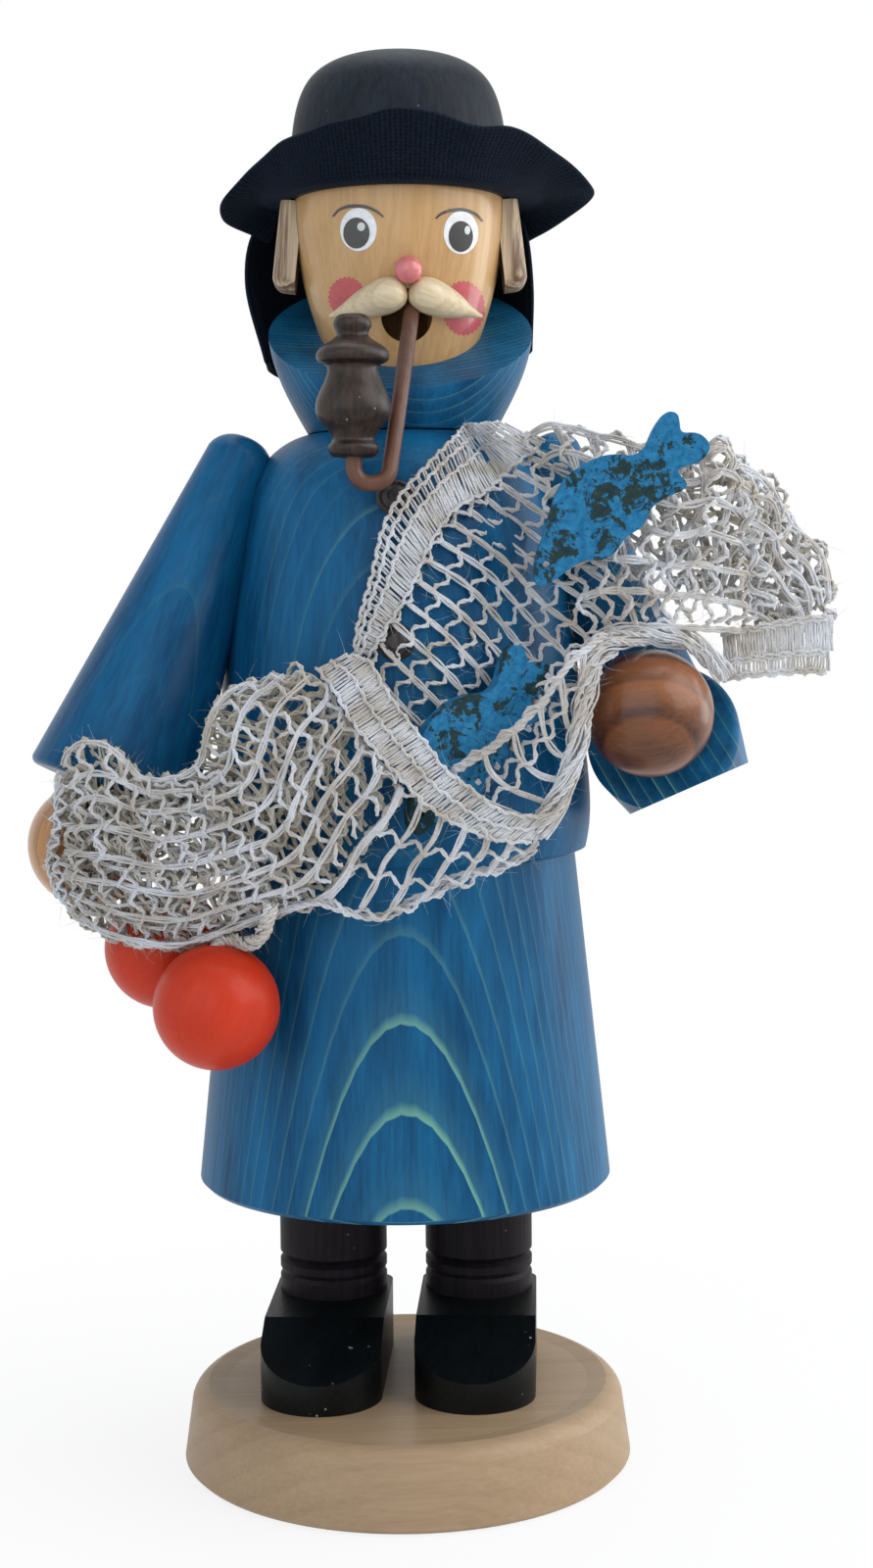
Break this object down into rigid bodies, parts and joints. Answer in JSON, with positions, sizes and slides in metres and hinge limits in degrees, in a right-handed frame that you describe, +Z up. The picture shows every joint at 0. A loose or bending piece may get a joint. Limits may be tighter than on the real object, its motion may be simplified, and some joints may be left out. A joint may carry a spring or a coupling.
{
  "type": "german incense smoker",
  "caption": "Turned wooden incense smoker: a fisherman in a blue coat with pipe, black hat, draped linen net, two teal fish and two red floats, 239 mm tall.",
  "frame": {"origin": "centre of the base disc's underside", "axes": "+Z up, the figure faces -Y, +X is to the right of someone looking at its face"},
  "size_m": [0.1335, 0.0817, 0.2391],
  "materials": {
    "pale_wood": "satin",
    "black_lacquer": "gloss",
    "dark_brown_stain": "satin",
    "beech_peg": "matte",
    "blue_stain": "satin",
    "tin_dish": "satin",
    "brass_tack": "satin",
    "varnished_wood": "gloss",
    "pink_lacquer": "gloss",
    "carved_pale_wood": "satin",
    "black_stain": "satin",
    "black_cloth": "matte",
    "red_brown_wood": "satin",
    "honey_wood": "satin",
    "walnut_wood": "gloss",
    "teal_crackle": "satin",
    "orange_red_paint": "gloss",
    "linen_yarn": "matte"
  },
  "bodies": {
    "lower": {"base_disc": "pale_wood", "shoe_left": "black_lacquer", "shoe_right": "black_lacquer", "leg_left": "dark_brown_stain", "leg_right": "dark_brown_stain", "leg_pegs": "beech_peg", "lower_body": "blue_stain", "burner_tack": "brass_tack"},
    "burner": {"burner_dish": "tin_dish"},
    "upper": {"upper_body": "blue_stain", "collar": "blue_stain", "head": "varnished_wood", "nose": "pink_lacquer", "moustache_left": "carved_pale_wood", "moustache_right": "carved_pale_wood", "hair_left": "carved_pale_wood", "hair_right": "carved_pale_wood", "hat_crown": "black_stain", "hat_peg": "beech_peg", "hat_brim": "black_cloth", "neck_flap": "black_cloth", "pipe_bowl": "dark_brown_stain", "pipe_stem": "red_brown_wood", "button_upper": "dark_brown_stain", "button_lower": "dark_brown_stain", "arm_straight": "blue_stain", "arm_bent_upper": "blue_stain", "arm_bent_fore": "blue_stain", "hand_left": "honey_wood", "hand_right": "walnut_wood", "arm_pegs": "beech_peg", "fish_upper": "teal_crackle", "fish_lower": "teal_crackle", "net_front_hem": "linen_yarn", "net_chest": "linen_yarn", "net_swag": "linen_yarn", "net_fold_hem": "linen_yarn", "net_heap": "linen_yarn", "net_right_hem": "linen_yarn", "net_hand_roll": "linen_yarn", "net_sling": "linen_yarn"},
    "float_front": {"float_front": "orange_red_paint", "float_tie_front": "linen_yarn"},
    "float_back": {"float_back": "orange_red_paint", "float_tie_back": "linen_yarn"}
  },
  "joints": [
    {"name": "burner_turn", "type": "hinge", "parent": "lower", "child": "burner", "pos_m": [0, 0, 0.1088], "axis": [0, 0, 1], "continuous": true},
    {"name": "upper_lift", "type": "slide", "parent": "burner", "child": "upper", "axis": [0, 0, 1], "range_m": [0, 0.08]},
    {"name": "front_float_swing", "type": "hinge", "parent": "upper", "child": "float_front", "pos_m": [-0.0298, -0.0316, 0.0953], "axis": [-0.7278, 0.6858, 0], "range_deg": [-5, 15]},
    {"name": "back_float_swing", "type": "hinge", "parent": "upper", "child": "float_back", "pos_m": [-0.0396, -0.0132, 0.1033], "axis": [0.9488, 0.3159, 0], "range_deg": [-4, 14]}
  ]
}
